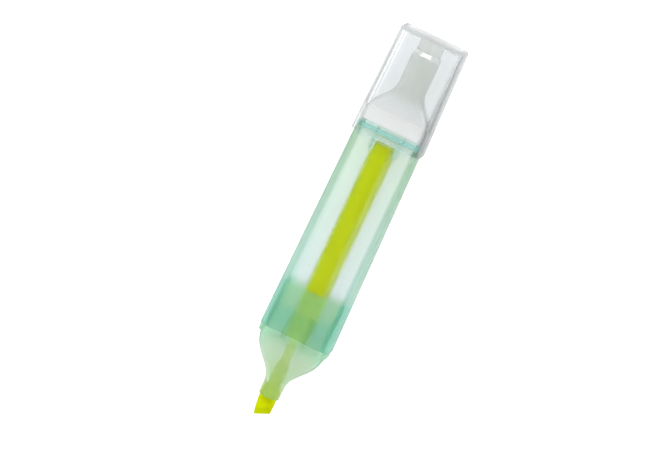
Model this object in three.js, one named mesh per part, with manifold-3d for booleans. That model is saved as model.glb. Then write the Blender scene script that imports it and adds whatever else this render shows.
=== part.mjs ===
// A flat-bodied highlighter pen with its clear cap posted on the rear end. Units are millimetres.
// X runs along the pen, from the writing tip at -X to the cap's closed end at +X.
// Y runs across the broad face and Z through the thickness: the pen lies on its back face, so its
// lowest point is at Z = 0, and the origin is under the middle of its overall length.
import * as THREE from "three";
import { mergeVertices } from "three/addons/utils/BufferGeometryUtils.js";
import Module from "manifold-3d";

const wasm = await Module();
wasm.setup();

// ---------- Driving dimensions ----------
// A cross-section is a rounded rectangle: w across Y, d through Z, r at the corners.
const BARREL_FRONT = { w: 22.0, d: 12.0, r: 2.8 };
const BARREL_REAR = { w: 20.15, d: 10.4, r: 2.4 };
const BARREL_LENGTH = 64.6;
const BARREL_WALL = 1.0;

const COLLAR = { w: 21.5, d: 11.6, r: 2.6 };
const COLLAR_LENGTH = 1.9;
const NOSE_LENGTH = 17.8; // collar face to the neck's mouth
const DOME_LENGTH = 14.0; // the part of the nose that narrows
const DOME_BASE = { w: 20.1, d: 10.2, r: 2.6 };
const DOME_WALL = 1.1;
const DOME_HOLLOW = 12.2; // how far the dome is hollow in front of the collar
const NECK_RADIUS = 3.15;

const SKIRT_LENGTH = 14.5; // what the section reaches into the barrel
const SKIRT_THICK_LENGTH = 7.2; // the stiffer stretch of it next to the collar
const SKIRT_WALL = 0.9;
const SKIRT_THICK_WALL = 1.1;
const FIT_GAP = 0.06; // around a pressed-in piece
const FACE_GAP = 0.05; // between faces that meet

const NIB_REACH = 6.6; // long point of the nib past the neck's mouth
const NIB_SHOULDER = 0.4; // from the neck's mouth to where the long side starts to taper
const NIB_HEAD = { w: 5.1, d: 3.6, r: 0.8 };
const NIB_HEAD_SEAT = 3.8; // length of the head held in the neck
const NIB_BODY_RADIUS = 1.95;
const NIB_BODY_LENGTH = 7.0;
const NIB_STEM_RADIUS = 1.35;
const NIB_POINT_LENGTH = 1.6;
const NIB_POINT_RADIUS = 0.3;
const NIB_IN_RESERVOIR = 3.4;
const NIB_SLANT = THREE.MathUtils.degToRad(25);
const NIB_EDGE = 1.1; // thickness left at the writing edge
const NIB_BEVEL_LENGTH = 2.2;
const NIB_SIDE_TAPER = THREE.MathUtils.degToRad(7);
const NIB_CLEARANCE = 0.08;
const VENT_GROOVE = { width: 0.6, depth: 0.35 };

const RESERVOIR_RADIUS = 3.6;
const FILM_THICKNESS = 0.13;
const FILM_GAP = 0.02;
const RESERVOIR_FRONT = -0.4; // from the barrel's front end
const RESERVOIR_REAR_GAP = 2.5; // from the barrel's rear end
const RIB_INSIDE = 3.0; // four ribs beside the reservoir in the section: from the middle plane
const RIB_WALL = 0.8;
const RIB_STOP = 0.8; // how far they step in at their front ends, to stop the reservoir
const RIB_STOP_LENGTH = 1.0;
const RIB_REAR_GAP = 0.4; // from the end of the thick stretch

const PLUG_FLANGE = 1.5;
const PLUG_EDGE = 0.35;
const PLUG_WALL = 0.8;
const PLUG_TAB_REACH = 2.6; // past the reservoir's rear end
const PLUG_TAB_HALF_WIDTH = 2.6;

const CAP_MOUTH = { w: 21.75, d: 12.0, r: 2.2 };
const CAP_END = { w: 20.15, d: 10.9, r: 1.9 };
const CAP_LENGTH = 32.9;
const CAP_MOUTH_WALL = 0.7;
const CAP_WALL = 1.25;
const CAP_STEP = 8.2; // from the mouth, where the wall thickens and stops the inner cap
const CAP_CEILING = 1.2;
const CAP_EDGE_RADIUS = 0.7;
const POSTING_DEPTH = 2.9;

const LINER_START = 4.0; // inner cap's rim, from the cap's mouth
const LINER_WALL = 0.7;
const LINER_TUBE_RADIUS = 4.25;
const LINER_BORE_RADIUS = 3.45;
const LINER_FLARE_END = 17;
const LINER_TUBE_END = 28.1;
const LINER_SHOULDER = 1.1; // length of the cone between the tube and the boss
const LINER_NARROWING = 1.0; // length over which the inside narrows from the rim to the funnel
const LINER_BOSS_RADIUS = 3.65;

// ---------- Stations along X ----------
const OVERALL =
  NIB_REACH + NOSE_LENGTH + COLLAR_LENGTH + BARREL_LENGTH + PLUG_FLANGE - POSTING_DEPTH + CAP_LENGTH;
const TIP_X = -OVERALL / 2;
const NECK_X = TIP_X + NIB_REACH;
const COLLAR_X = NECK_X + NOSE_LENGTH;
const FRONT_X = COLLAR_X + COLLAR_LENGTH;
const REAR_X = FRONT_X + BARREL_LENGTH;
const PLUG_END_X = REAR_X + PLUG_FLANGE;
const MOUTH_X = PLUG_END_X - POSTING_DEPTH;
const CAP_END_X = MOUTH_X + CAP_LENGTH;
const RESERVOIR_FRONT_X = FRONT_X + RESERVOIR_FRONT;
const RESERVOIR_REAR_X = REAR_X - RESERVOIR_REAR_GAP;
const AXIS_Z = BARREL_FRONT.d / 2;

const CORNER_STEPS = 6;
const ROUND_STEPS = 32;
const CURVE_STEPS = 14;
const HALVINGS = 40; // of the interval in which a curve's point is looked for
const PAST = 1; // how far a cutting shape runs past the face it opens
const OVERLAP = 0.2; // how far shapes that are joined run into each other
const HAIR = 0.01; // a margin too small to see
const WELD = 1e-4; // points closer than this are one
const LEAST_CORNER = 0.4; // the sharpest corner that an inset section gets

// ---------- Cross-sections ----------
const mix = (a, b, t) => ({
  w: THREE.MathUtils.lerp(a.w, b.w, t),
  d: THREE.MathUtils.lerp(a.d, b.d, t),
  r: THREE.MathUtils.lerp(a.r, b.r, t),
});
const inset = (s, by) => ({ w: s.w - 2 * by, d: s.d - 2 * by, r: Math.max(s.r - by, LEAST_CORNER) });
const at = (x, section) => ({ x, ...section });
const barrelOuter = (x) => mix(BARREL_FRONT, BARREL_REAR, (x - FRONT_X) / BARREL_LENGTH);
const barrelInner = (x) => inset(barrelOuter(x), BARREL_WALL);
const capOuter = (u) => mix(CAP_MOUTH, CAP_END, u / CAP_LENGTH);

// ---------- Solids ----------
function solidOf(geometry) {
  const bare = geometry.clone();
  bare.deleteAttribute("normal");
  bare.deleteAttribute("uv");
  const merged = mergeVertices(bare, WELD);
  return new wasm.Manifold(
    new wasm.Mesh({
      numProp: 3,
      vertProperties: new Float32Array(merged.getAttribute("position").array),
      triVerts: new Uint32Array(merged.index.array),
    }),
  );
}

function geometryOf(solid) {
  const mesh = solid.getMesh();
  const geometry = new THREE.BufferGeometry();
  geometry.setAttribute("position", new THREE.BufferAttribute(mesh.vertProperties, 3));
  geometry.setIndex(new THREE.BufferAttribute(mesh.triVerts, 1));
  return geometry;
}

// The outline of a cross-section, anticlockwise seen from +X, with the same point count for each.
function ring({ x, w, d, r }) {
  const least = 0.02; // keeps a round section's straight edges from vanishing
  const radius = Math.min(r, w / 2 - least, d / 2 - least);
  const points = [];
  for (let corner = 0; corner < 4; corner++) {
    const cy = (w / 2 - radius) * (corner === 0 || corner === 3 ? 1 : -1);
    const cz = (d / 2 - radius) * (corner < 2 ? 1 : -1);
    for (let step = 0; step <= CORNER_STEPS; step++) {
      const angle = (Math.PI / 2) * (corner + step / CORNER_STEPS);
      points.push([x, cy + radius * Math.cos(angle), AXIS_Z + cz + radius * Math.sin(angle)]);
    }
  }
  return points;
}

// A closed solid through cross-sections given from low X to high X.
function loft(stations) {
  const rings = stations.map(ring);
  const count = rings[0].length;
  const first = stations[0].x;
  const last = stations[stations.length - 1].x;
  const positions = [...rings.flat(2), first, 0, AXIS_Z, last, 0, AXIS_Z];
  const firstCentre = rings.length * count;
  const index = [];
  for (let k = 0; k < count; k++) {
    const next = (k + 1) % count;
    for (let s = 0; s + 1 < rings.length; s++) {
      const [a, b] = [s * count + k, s * count + next];
      index.push(a, b, b + count, a, b + count, a + count);
    }
    const top = (rings.length - 1) * count;
    index.push(firstCentre, next, k, firstCentre + 1, top + k, top + next);
  }
  const geometry = new THREE.BufferGeometry();
  geometry.setAttribute("position", new THREE.Float32BufferAttribute(positions, 3));
  geometry.setIndex(index);
  return solidOf(geometry);
}

function box(x0, x1, y0, y1, z0, z1) {
  const geometry = new THREE.BoxGeometry(x1 - x0, y1 - y0, z1 - z0);
  geometry.translate((x0 + x1) / 2, (y0 + y1) / 2, (z0 + z1) / 2);
  return solidOf(geometry);
}

// A solid of revolution about the pen's axis, from [x, radius] pairs that start and end on the axis.
function turned(profile) {
  const points = profile.map(([x, radius]) => new THREE.Vector2(radius, x));
  const geometry = new THREE.LatheGeometry(points, ROUND_STEPS);
  geometry.rotateZ(-Math.PI / 2);
  geometry.translate(0, 0, AXIS_Z);
  const made = solidOf(geometry);
  if (made.volume() > 0) return made;
  throw new Error("a turned profile runs the wrong way");
}

const rod = (x0, x1, radius) =>
  turned([
    [x0, 0],
    [x0, radius],
    [x1, radius],
    [x1, 0],
  ]);

// The y of a curve at x, for a curve whose x only grows.
function valueAt(curve, x) {
  let [low, high] = [0, 1];
  for (let halving = 0; halving < HALVINGS; halving++) {
    const middle = (low + high) / 2;
    if (curve.getPoint(middle).x < x) low = middle;
    else high = middle;
  }
  return curve.getPoint((low + high) / 2).y;
}

const ease = (points) =>
  new THREE.CubicBezierCurve(...points.map(([x, y]) => new THREE.Vector2(x, y)));

// ---------- Nose outline: half-width and half-depth, by distance in front of the collar ----------
const noseHalfWidth = ease([
  [0, DOME_BASE.w / 2],
  [7.0, DOME_BASE.w / 2],
  [8.6, NECK_RADIUS],
  [DOME_LENGTH, NECK_RADIUS],
]);
const noseHalfDepth = ease([
  [0, DOME_BASE.d / 2],
  [3.0, DOME_BASE.d / 2],
  [5.4, NECK_RADIUS],
  [DOME_LENGTH, NECK_RADIUS],
]);

function noseOuter(s) {
  const w = 2 * valueAt(noseHalfWidth, s);
  const d = 2 * valueAt(noseHalfDepth, s);
  const roundness = THREE.MathUtils.clamp(s / DOME_LENGTH, 0, 1);
  return { w, d, r: THREE.MathUtils.lerp(DOME_BASE.r, d / 2, Math.sqrt(roundness)) };
}

function noseStations(sectionAt, length) {
  const stations = [];
  for (let k = CURVE_STEPS; k >= 0; k--) {
    const s = (length * k) / CURVE_STEPS;
    stations.push(at(COLLAR_X - s, sectionAt(s)));
  }
  return stations;
}

// ---------- Pieces ----------
function makeBarrel() {
  const outer = loft([at(FRONT_X, barrelOuter(FRONT_X)), at(REAR_X, barrelOuter(REAR_X))]);
  const [x0, x1] = [FRONT_X - PAST, REAR_X + PAST];
  return outer.subtract(loft([at(x0, barrelInner(x0)), at(x1, barrelInner(x1))]));
}

function makeEndPlug() {
  const flangeX = REAR_X + FACE_GAP;
  const flange = loft([
    at(flangeX, barrelOuter(flangeX)),
    at(PLUG_END_X - PLUG_EDGE, barrelOuter(PLUG_END_X - PLUG_EDGE)),
    at(PLUG_END_X, inset(barrelOuter(PLUG_END_X), PLUG_EDGE)),
  ]);
  const joinX = flangeX + OVERLAP;
  const skirtX = RESERVOIR_REAR_X + FACE_GAP;
  const skirtOuter = (x) => inset(barrelInner(x), FIT_GAP);
  const skirtInner = (x) => inset(skirtOuter(x), PLUG_WALL);
  const skirt = loft([at(skirtX, skirtOuter(skirtX)), at(joinX, skirtOuter(joinX))]).subtract(
    loft([at(skirtX - PAST, skirtInner(skirtX)), at(flangeX, skirtInner(flangeX))]),
  );
  // Two tabs keep the reservoir's rear end in the middle, and a cross bar stops it.
  const tabX = RESERVOIR_REAR_X - PLUG_TAB_REACH;
  const tabInner = RESERVOIR_RADIUS + FILM_GAP + FILM_THICKNESS + NIB_CLEARANCE;
  const wide = barrelOuter(REAR_X).w / 2;
  const band = (x0, halfWidth, halfDepth) =>
    box(x0, joinX, -halfWidth, halfWidth, AXIS_Z - halfDepth, AXIS_Z + halfDepth);
  const tabs = rod(tabX, joinX, tabInner + PLUG_WALL)
    .subtract(rod(tabX - PAST, flangeX, tabInner))
    .intersect(band(tabX, wide, PLUG_TAB_HALF_WIDTH));
  const bar = band(skirtX, skirtOuter(skirtX).w / 2 - PLUG_WALL / 2, PLUG_WALL / 2);
  return flange.add(skirt).add(tabs).add(bar);
}

// The nib's own outer form, grown all round by a clearance: the neck's bore is cut with it too.
function nibForm(clearance, past) {
  const headRear = NECK_X + NIB_HEAD_SEAT + clearance;
  const bodyRear = headRear + NIB_BODY_LENGTH;
  const head = loft([
    at(TIP_X - past, inset(NIB_HEAD, -clearance)),
    at(headRear, inset(NIB_HEAD, -clearance)),
  ]);
  return head.add(rod(headRear - OVERLAP, bodyRear, NIB_BODY_RADIUS + clearance));
}

function makeNib() {
  const bodyRear = NECK_X + NIB_HEAD_SEAT + NIB_BODY_LENGTH;
  const stemEnd = RESERVOIR_FRONT_X + NIB_IN_RESERVOIR;
  const stem = turned([
    [bodyRear - OVERLAP, 0],
    [bodyRear - OVERLAP, NIB_STEM_RADIUS],
    [stemEnd - NIB_POINT_LENGTH, NIB_STEM_RADIUS],
    [stemEnd, NIB_POINT_RADIUS],
    [stemEnd, 0],
  ]);
  const nib = nibForm(0, 0).add(stem);

  // The writing end in outline, seen from above: slanted edge, one side tapered towards it.
  const half = NIB_HEAD.w / 2;
  const longSide = half - (NIB_REACH - NIB_SHOULDER) * Math.tan(NIB_SIDE_TAPER);
  const slantX = (y) => TIP_X + (longSide - y) * Math.tan(NIB_SLANT);
  const keep = new THREE.Shape([
    new THREE.Vector2(slantX(longSide), longSide),
    new THREE.Vector2(NECK_X - NIB_SHOULDER, half + HAIR),
    new THREE.Vector2(stemEnd + PAST, half + HAIR),
    new THREE.Vector2(stemEnd + PAST, -half - HAIR),
    new THREE.Vector2(slantX(-half - HAIR), -half - HAIR),
  ]);
  const planDepth = NIB_HEAD.d + PAST;
  const plan = new THREE.ExtrudeGeometry(keep, { depth: planDepth, bevelEnabled: false });
  plan.translate(0, 0, AXIS_Z - planDepth / 2);

  // The chisel's wedge: a profile along X and Z, sheared so that it follows the slanted edge.
  const thick = NIB_HEAD.d / 2 + HAIR;
  const wedgeWidth = 2 * NIB_HEAD.w;
  const wedgeEnd = stemEnd - TIP_X + wedgeWidth;
  const wedgeShape = new THREE.Shape([
    new THREE.Vector2(-PAST, -NIB_EDGE / 2),
    new THREE.Vector2(0, -NIB_EDGE / 2),
    new THREE.Vector2(NIB_BEVEL_LENGTH, -thick),
    new THREE.Vector2(wedgeEnd, -thick),
    new THREE.Vector2(wedgeEnd, thick),
    new THREE.Vector2(NIB_BEVEL_LENGTH, thick),
    new THREE.Vector2(0, NIB_EDGE / 2),
    new THREE.Vector2(-PAST, NIB_EDGE / 2),
  ]);
  const wedge = new THREE.ExtrudeGeometry(wedgeShape, { depth: wedgeWidth, bevelEnabled: false });
  wedge.translate(0, 0, -wedgeWidth / 2);
  wedge.rotateX(Math.PI / 2);
  const slope = Math.tan(NIB_SLANT);
  wedge.applyMatrix4(
    new THREE.Matrix4().set(1, -slope, 0, slantX(0), 0, 1, 0, 0, 0, 0, 1, AXIS_Z, 0, 0, 0, 1),
  );
  return nib.intersect(solidOf(plan)).intersect(solidOf(wedge));
}

function makeSection() {
  const collarRear = FRONT_X - FACE_GAP;
  const skirtRear = FRONT_X + SKIRT_LENGTH;
  const thickRear = FRONT_X + SKIRT_THICK_LENGTH;
  const skirtOuter = (x) => inset(barrelInner(x), FIT_GAP);

  const nose = loft([at(NECK_X, noseOuter(DOME_LENGTH)), ...noseStations(noseOuter, DOME_LENGTH)]);
  const collar = loft([at(COLLAR_X - HAIR, COLLAR), at(collarRear, COLLAR)]);
  const skirt = loft([
    at(collarRear - OVERLAP, skirtOuter(FRONT_X)),
    at(skirtRear, skirtOuter(skirtRear)),
  ]);

  // One cavity, drawn from the rear: skirt, thick stretch, then the dome down to the nib's bore.
  const domeInner = (s) => {
    const outer = inset(noseOuter(s), DOME_WALL);
    const least = 2 * (NIB_BODY_RADIUS + NIB_CLEARANCE);
    return { w: Math.max(outer.w, least), d: Math.max(outer.d, least), r: Math.min(outer.r, outer.d / 2) };
  };
  const cavity = loft([
    ...noseStations(domeInner, DOME_HOLLOW),
    at(FRONT_X, inset(skirtOuter(FRONT_X), SKIRT_THICK_WALL)),
    at(thickRear, inset(skirtOuter(thickRear), SKIRT_THICK_WALL)),
    at(thickRear, inset(skirtOuter(thickRear), SKIRT_WALL)),
    at(skirtRear + PAST, inset(skirtOuter(skirtRear), SKIRT_WALL)),
  ]);

  // Four short ribs stand on the broad walls beside the reservoir and step in to stop its end.
  const solid = nose.add(collar).add(skirt);
  const filmSpace = RESERVOIR_RADIUS + FILM_GAP + FILM_THICKNESS + NIB_CLEARANCE;
  const stopX = RESERVOIR_FRONT_X - FACE_GAP;
  const ribFoot = Math.sqrt(filmSpace ** 2 - RIB_INSIDE ** 2);
  const ribRear = thickRear - RIB_REAR_GAP;
  const ribAt = (side, face) => {
    const span = (sign, near, far) => (sign > 0 ? [near, far] : [-far, -near]);
    const slab = (x0, x1, stepIn) => {
      const [y0, y1] = span(side, RIB_INSIDE - stepIn, RIB_INSIDE + RIB_WALL);
      const [z0, z1] = span(face, ribFoot - stepIn, BARREL_FRONT.d / 2);
      return box(x0, x1, y0, y1, AXIS_Z + z0, AXIS_Z + z1);
    };
    return slab(stopX - OVERLAP, ribRear, 0).add(slab(stopX - RIB_STOP_LENGTH, stopX, RIB_STOP));
  };
  const ribs = ribAt(1, 1).add(ribAt(1, -1)).add(ribAt(-1, 1)).add(ribAt(-1, -1)).intersect(solid);

  const vents = [1, 3, 5, 7].map((eighth) => {
    const reach = NIB_BODY_RADIUS + NIB_CLEARANCE + VENT_GROOVE.depth;
    const groove = new THREE.BoxGeometry(NOSE_LENGTH + 2 * PAST, VENT_GROOVE.width, reach);
    groove.translate(NECK_X + NOSE_LENGTH / 2, 0, reach / 2);
    groove.rotateX((eighth * Math.PI) / 4);
    groove.translate(0, 0, AXIS_Z);
    return solidOf(groove).intersect(rod(NECK_X - PAST, COLLAR_X - DOME_HOLLOW + PAST, NECK_RADIUS));
  });
  return vents.reduce((made, vent) => made.subtract(vent), solid.subtract(cavity).add(ribs)).subtract(
    nibForm(NIB_CLEARANCE, PAST),
  );
}

function makeReservoirCore() {
  const core = rod(RESERVOIR_FRONT_X, RESERVOIR_REAR_X, RESERVOIR_RADIUS);
  // The nib's stem is pressed into the fibres.
  const pressed = turned([
    [RESERVOIR_FRONT_X - PAST, 0],
    [RESERVOIR_FRONT_X - PAST, NIB_STEM_RADIUS + NIB_CLEARANCE],
    [RESERVOIR_FRONT_X + NIB_IN_RESERVOIR - NIB_POINT_LENGTH, NIB_STEM_RADIUS + NIB_CLEARANCE],
    [RESERVOIR_FRONT_X + NIB_IN_RESERVOIR + NIB_CLEARANCE, NIB_POINT_RADIUS + NIB_CLEARANCE],
    [RESERVOIR_FRONT_X + NIB_IN_RESERVOIR + NIB_CLEARANCE, 0],
  ]);
  return core.subtract(pressed);
}

function makeReservoirFilm() {
  const inner = RESERVOIR_RADIUS + FILM_GAP;
  return rod(RESERVOIR_FRONT_X, RESERVOIR_REAR_X, inner + FILM_THICKNESS).subtract(
    rod(RESERVOIR_FRONT_X - PAST, RESERVOIR_REAR_X + PAST, inner),
  );
}

const capAt = (u, section) => at(MOUTH_X + u, section);

function makeCapShell() {
  const edge = CAP_EDGE_RADIUS;
  const rounded = [0, 0.25, 0.5, 0.75, 1].map((share) => {
    const angle = (share * Math.PI) / 2;
    const u = CAP_LENGTH - edge + edge * Math.sin(angle);
    return capAt(u, inset(capOuter(u), edge * (1 - Math.cos(angle))));
  });
  const ceiling = CAP_LENGTH - CAP_CEILING;
  const cavity = loft([
    capAt(-PAST, inset(capOuter(-PAST), CAP_MOUTH_WALL)),
    capAt(CAP_STEP, inset(capOuter(CAP_STEP), CAP_MOUTH_WALL)),
    capAt(CAP_STEP, inset(capOuter(CAP_STEP), CAP_WALL)),
    capAt(ceiling, inset(capOuter(ceiling), CAP_WALL)),
  ]);
  return loft([capAt(0, capOuter(0)), ...rounded]).subtract(cavity);
}

function makeInnerCap() {
  const skirtOuter = (u) => inset(capOuter(u), CAP_MOUTH_WALL + FIT_GAP);
  const skirtEnd = CAP_STEP - FACE_GAP;
  const flareStart = inset(capOuter(CAP_STEP), CAP_WALL + 2 * FIT_GAP);
  const halfWidth = ease([
    [CAP_STEP, flareStart.w / 2],
    [CAP_STEP + 2.6, flareStart.w / 2],
    [CAP_STEP + 4.9, LINER_TUBE_RADIUS],
    [LINER_FLARE_END, LINER_TUBE_RADIUS],
  ]);
  const flare = (u) => {
    const share = (u - CAP_STEP) / (LINER_FLARE_END - CAP_STEP);
    const d = THREE.MathUtils.lerp(flareStart.d, 2 * LINER_TUBE_RADIUS, share);
    const r = THREE.MathUtils.lerp(flareStart.r, d / 2, Math.sqrt(share));
    return { w: 2 * valueAt(halfWidth, u), d, r };
  };
  const round = (radius) => ({ w: 2 * radius, d: 2 * radius, r: radius });
  const flareStations = (inner) => {
    const stations = [];
    for (let k = 0; k <= CURVE_STEPS; k++) {
      const u = CAP_STEP + ((LINER_FLARE_END - CAP_STEP) * k) / CURVE_STEPS;
      const wall = THREE.MathUtils.lerp(LINER_WALL, LINER_TUBE_RADIUS - LINER_BORE_RADIUS, k / CURVE_STEPS);
      stations.push(capAt(u, inner ? inset(flare(u), wall) : flare(u)));
    }
    return stations;
  };
  const outer = loft([
    capAt(LINER_START, skirtOuter(LINER_START)),
    capAt(skirtEnd, skirtOuter(skirtEnd)),
    capAt(skirtEnd, flareStart),
    ...flareStations(false),
    capAt(LINER_TUBE_END - LINER_SHOULDER, round(LINER_TUBE_RADIUS)),
    capAt(LINER_TUBE_END, round(LINER_BOSS_RADIUS)),
    capAt(CAP_LENGTH - CAP_CEILING - FACE_GAP, round(LINER_BOSS_RADIUS)),
  ]);
  const cavity = loft([
    capAt(LINER_START - PAST, inset(skirtOuter(LINER_START), LINER_WALL)),
    capAt(skirtEnd - LINER_NARROWING, inset(skirtOuter(skirtEnd), LINER_WALL)),
    ...flareStations(true),
    capAt(LINER_TUBE_END - LINER_SHOULDER, round(LINER_BORE_RADIUS)),
  ]);
  return outer.subtract(cavity);
}

// ---------- Assembly ----------
const tinted = { color: 0x9fd8c0, roughness: 0.35, metalness: 0, transparent: true, opacity: 0.45 };
const LOOKS = {
  barrel: { ...tinted, color: 0xcfeee0 },
  end_plug: tinted,
  nib_section: tinted,
  nib: { color: 0xc8d400, roughness: 0.9, metalness: 0 },
  reservoir_core: { color: 0xbdd200, roughness: 0.95, metalness: 0 },
  reservoir_film: { color: 0xe6f0c0, roughness: 0.2, metalness: 0, transparent: true, opacity: 0.3 },
  cap_shell: { color: 0xf4f6f8, roughness: 0.05, metalness: 0, transparent: true, opacity: 0.25 },
  inner_cap: { color: 0xe6e8e2, roughness: 0.4, metalness: 0, transparent: true, opacity: 0.7 },
};

const solids = {
  barrel: makeBarrel(),
  end_plug: makeEndPlug(),
  nib_section: makeSection(),
  nib: makeNib(),
  reservoir_core: makeReservoirCore(),
  reservoir_film: makeReservoirFilm(),
  cap_shell: makeCapShell(),
  inner_cap: makeInnerCap(),
};

const highlighter = new THREE.Group();
for (const [name, solid] of Object.entries(solids)) {
  const mesh = new THREE.Mesh(geometryOf(solid), new THREE.MeshStandardMaterial(LOOKS[name]));
  mesh.name = name;
  highlighter.add(mesh);
}

export default highlighter;
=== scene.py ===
# The looks of a flat-bodied highlighter pen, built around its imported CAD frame.
# The pen lies along X: nib at -X, cap at +X, broad face up. Shapes are worked out in millimetres in
# the CAD's frame and are scaled to metres when they become meshes.
import math

import bmesh
import bpy
import numpy as np
from mathutils import Matrix, Vector, noise


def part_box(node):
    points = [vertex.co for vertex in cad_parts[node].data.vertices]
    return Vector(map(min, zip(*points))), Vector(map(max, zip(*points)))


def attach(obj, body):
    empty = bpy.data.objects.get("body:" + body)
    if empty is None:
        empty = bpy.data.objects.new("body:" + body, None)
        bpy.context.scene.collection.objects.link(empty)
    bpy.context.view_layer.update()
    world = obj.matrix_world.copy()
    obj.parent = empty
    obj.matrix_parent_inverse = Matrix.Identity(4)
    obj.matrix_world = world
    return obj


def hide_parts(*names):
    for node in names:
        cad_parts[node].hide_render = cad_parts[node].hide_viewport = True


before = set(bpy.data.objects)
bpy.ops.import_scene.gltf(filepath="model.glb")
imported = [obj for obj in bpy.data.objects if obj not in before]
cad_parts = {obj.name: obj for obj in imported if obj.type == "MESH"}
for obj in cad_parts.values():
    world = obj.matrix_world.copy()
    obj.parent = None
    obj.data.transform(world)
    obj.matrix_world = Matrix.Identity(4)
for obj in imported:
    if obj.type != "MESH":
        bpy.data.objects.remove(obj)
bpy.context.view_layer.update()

MM = 0.001


def node_box(node):
    low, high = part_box(node)
    return low / MM, high / MM


# ---------- Stations along X and the sizes that the frame gives, in millimetres ----------
BARREL_LOW, BARREL_HIGH = node_box("barrel")
SECTION_LOW, SECTION_HIGH = node_box("nib_section")
NIB_LOW, NIB_HIGH = node_box("nib")
PLUG_LOW, PLUG_HIGH = node_box("end_plug")
CORE_LOW, CORE_HIGH = node_box("reservoir_core")
FILM_LOW, FILM_HIGH = node_box("reservoir_film")
CAP_LOW, CAP_HIGH = node_box("cap_shell")
LINER_LOW, LINER_HIGH = node_box("inner_cap")

TIP_X = NIB_LOW.x
NECK_X = SECTION_LOW.x
FRONT_X = BARREL_LOW.x
REAR_X = BARREL_HIGH.x
PLUG_END_X = PLUG_HIGH.x
MOUTH_X = CAP_LOW.x
CAP_END_X = CAP_HIGH.x
AXIS_Z = (BARREL_LOW.z + BARREL_HIGH.z) / 2

# ---------- Sizes that the frame's boxes don't give, as in the CAD ----------
BARREL_FRONT = (BARREL_HIGH.y - BARREL_LOW.y, BARREL_HIGH.z - BARREL_LOW.z, 2.8)
BARREL_REAR = (20.15, 10.4, 2.4)
BARREL_WALL = 1.0
COLLAR_LENGTH = 1.9
COLLAR = (21.5, 11.6, 2.6)
DOME_BASE = (20.1, 10.2, 2.6)
DOME_LENGTH = 14.0
DOME_WALL = 1.1
NECK_RADIUS = 3.15
NOSE_WIDTH_HANDLES = (7.0, 8.6)
NOSE_DEPTH_HANDLES = (3.0, 5.4)
DOME_HOLLOW = 12.2
SKIRT_THICK_LENGTH = 7.2
SKIRT_WALL = 0.9
SKIRT_THICK_WALL = 1.1
FIT_GAP = 0.06
FACE_GAP = 0.05
NIB_HEAD = (5.1, 3.6, 0.8)
NIB_HEAD_SEAT = 3.8
NIB_BODY_RADIUS = 1.95
NIB_BODY_LENGTH = 7.0
NIB_STEM_RADIUS = 1.35
NIB_POINT_LENGTH = 1.6
NIB_POINT_RADIUS = 0.3
NIB_SLANT = math.radians(25)
NIB_SIDE_TAPER = math.radians(7)
NIB_EDGE = 1.1
NIB_BEVEL_LENGTH = 2.2
NIB_STRAIGHT = 0.4
NIB_CLEARANCE = 0.08
STEM_HOLE_TIP_RADIUS = 0.4
RIB_INSIDE = 3.0
RIB_WALL = 0.8
RIB_STOP = 0.8
RIB_STOP_LENGTH = 1.0
RIB_STOP_OVERLAP = 0.2
RIB_REAR_GAP = 0.4
FILM_THICKNESS = 0.05
FILM_GAP = 0.02
FILM_LAP_GAP = 0.012
FILM_LAP_START = math.radians(-8)
FILM_LAP_TURN = math.radians(62)
PLUG_WALL = 0.8
PLUG_TAB_HALF_WIDTH = 2.6
PLUG_RIM_ROOT = 0.4
CAP_MOUTH = (CAP_HIGH.y - CAP_LOW.y, CAP_HIGH.z - CAP_LOW.z, 2.2)
CAP_END = (20.15, 10.9, 1.9)
CAP_MOUTH_WALL = 0.7
CAP_WALL = 1.25
CAP_STEP = 8.2
CAP_CEILING = 1.2
CAP_EDGE_RADIUS = 0.7
GATE_RADII = (1.35, 1.25, 0.6)
GATE_DEPTH = 0.12
LINER_WALL = 0.7
LINER_TUBE_RADIUS = 4.25
LINER_BORE_RADIUS = 3.45
LINER_FLARE_END = 17.0
LINER_TUBE_END = 28.1
LINER_SHOULDER = 1.1
LINER_BOSS_RADIUS = 3.65
LINER_FLARE_HANDLES = (2.6, 4.9)
# The closed end of the liner's bore: rings at these distances from it, with these radii.
LINER_BORE_END = ((0.0, 0.8), (0.1, 1.8), (0.5, 2.9), (1.1, 3.3), (1.8, LINER_BORE_RADIUS))

# How far in from the outline the extra rings lie that keep the flat ends even.
PLUG_END_RING = 1.2
CAP_END_RINGS = (1.6, 3.0)
CEILING_RING = 2.5

# How far each rim is rounded.
BARREL_EDGE = 0.22
SECTION_EDGE = 0.18
NECK_EDGE = 0.3
PLUG_EDGE = 0.3
CAP_MOUTH_EDGE = 0.2
CAP_CEILING_EDGE = 0.35
LINER_EDGE = 0.15
INNER_EDGE = 0.12

COLLAR_X = FRONT_X - COLLAR_LENGTH
SHOULDER_X = MOUTH_X + LINER_TUBE_END - LINER_SHOULDER
CORE_RADIUS = (CORE_HIGH.y - CORE_LOW.y) / 2
FILM_RADIUS = (FILM_HIGH.y - FILM_LOW.y) / 2

# Where the broad faces start to turn into the narrow sides and where they have, in |Y|.
BARREL_SIDE = (7.9, 9.1)
CAP_SIDE = (8.0, 9.8)
# The same for the cap's end wall and its painted shade, inwards from the end, and half the blur of
# its mouth's tint.
CAP_END_SHADE = (1.7, 0.9)
CAP_TINT_BLUR = 1.0

# ---------- Mesh fineness ----------
CORNER_STEPS = 12
BROAD_STEPS = 10
NARROW_STEPS = 6
CURVE_STEPS = 40
FILLET_STEPS = 4
CAP_EDGE_STEPS = 8
CORE_STEPS = 144
CORE_RINGS = 60
FILM_STEPS = 150
FILM_RINGS = 40
EASE_SAMPLES = 400
LEAST_CORNER = 0.3
LEAST_FLAT = 0.01
WELD = 0.001
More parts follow.
